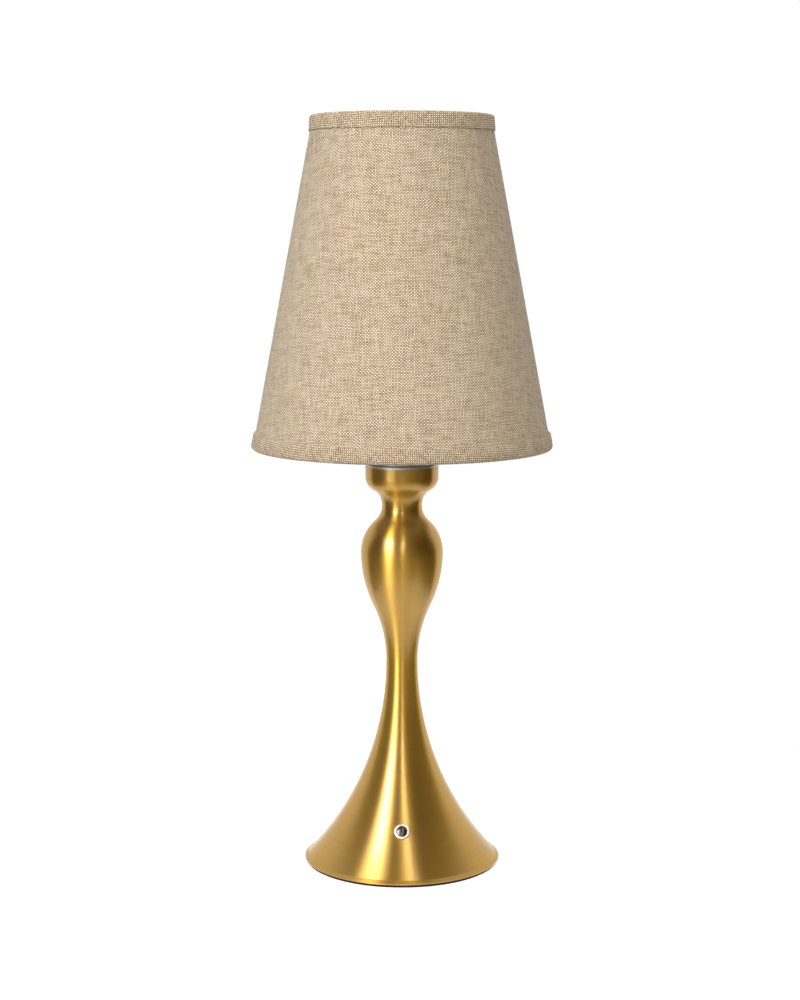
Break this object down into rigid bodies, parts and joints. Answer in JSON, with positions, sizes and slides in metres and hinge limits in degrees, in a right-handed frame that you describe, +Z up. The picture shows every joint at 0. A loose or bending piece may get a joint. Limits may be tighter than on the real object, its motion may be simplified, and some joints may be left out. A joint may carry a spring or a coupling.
{
  "type": "cordless table lamp",
  "caption": "Cordless candlestick table lamp: turned brass foot, column and cup, push switch, opal light tube, and a tapered woven shade that turns and lifts off.",
  "frame": {"origin": "centre of the pad's underside, on the surface that the lamp stands on", "axes": "+Z up along the turned axis; -Y towards the push switch; +Y towards the charging inlet"},
  "size_m": [0.1522, 0.1522, 0.3799],
  "materials": {
    "black_plastic": "moulded, fine grain",
    "black_rubber": "matt",
    "brushed_brass": "satin, brushed round the axis, lacquered",
    "cast_iron": "as cast, painted",
    "clear_silicone": "soft, translucent",
    "green_laminate": "solder resist on glass fibre",
    "linen_trim": "coarse weave cut on the bias",
    "opal_plastic": "opal, satin",
    "plated_steel": "zinc plated",
    "polished_steel": "polished",
    "satin_nickel": "satin nickel plate",
    "turned_aluminium": "turned",
    "white_laminate": "white solder resist",
    "white_liner": "smooth sheet",
    "woven_linen": "coarse plain weave",
    "wrapped_cell": "steel can in a plastic sleeve"
  },
  "bodies": {
    "root": {"base_pad": "black_rubber", "base_plate": "plated_steel", "ballast_weight": "cast_iron", "ballast_screws": "plated_steel", "foot_shell": "brushed_brass", "stem_rod": "plated_steel", "rod_nuts": "plated_steel", "cup_washer": "plated_steel", "baluster": "brushed_brass", "cup_shell": "brushed_brass", "battery_cradle": "black_plastic", "battery_cell": "wrapped_cell", "control_board": "green_laminate", "charging_inlet": "plated_steel", "inlet_surround": "black_plastic", "switch_ring": "polished_steel", "switch_block": "black_plastic", "switch_nut": "plated_steel", "switch_spring": "plated_steel", "cup_lid": "satin_nickel", "light_collar": "satin_nickel", "led_heat_sink": "turned_aluminium", "led_board": "white_laminate", "diffuser": "opal_plastic"},
    "button": {"switch_cap": "polished_steel"},
    "seat": {"seat_washer": "clear_silicone"},
    "shade": {"fitter_ring": "satin_nickel", "frame_arm_1": "satin_nickel", "frame_arm_2": "satin_nickel", "frame_arm_3": "satin_nickel", "hem_wire": "satin_nickel", "crown_wire": "satin_nickel", "shade_fabric": "woven_linen", "shade_liner": "white_liner", "hem_trim": "linen_trim", "crown_trim": "linen_trim"}
  },
  "joints": [
    {"name": "switch_press", "type": "slide", "parent": "root", "child": "button", "axis": [0, 0.8371, -0.547], "range_m": [0, 0.0008], "stiffness_N_per_m": 150, "springref_m": -0.004, "deforming": ["switch_spring"]},
    {"name": "shade_turn", "type": "hinge", "parent": "root", "child": "seat", "pos_m": [0, 0, 0.2062], "axis": [0, 0, 1], "continuous": true},
    {"name": "shade_lift", "type": "slide", "parent": "seat", "child": "shade", "axis": [0, 0, 1], "range_m": [0, 0.06]}
  ]
}
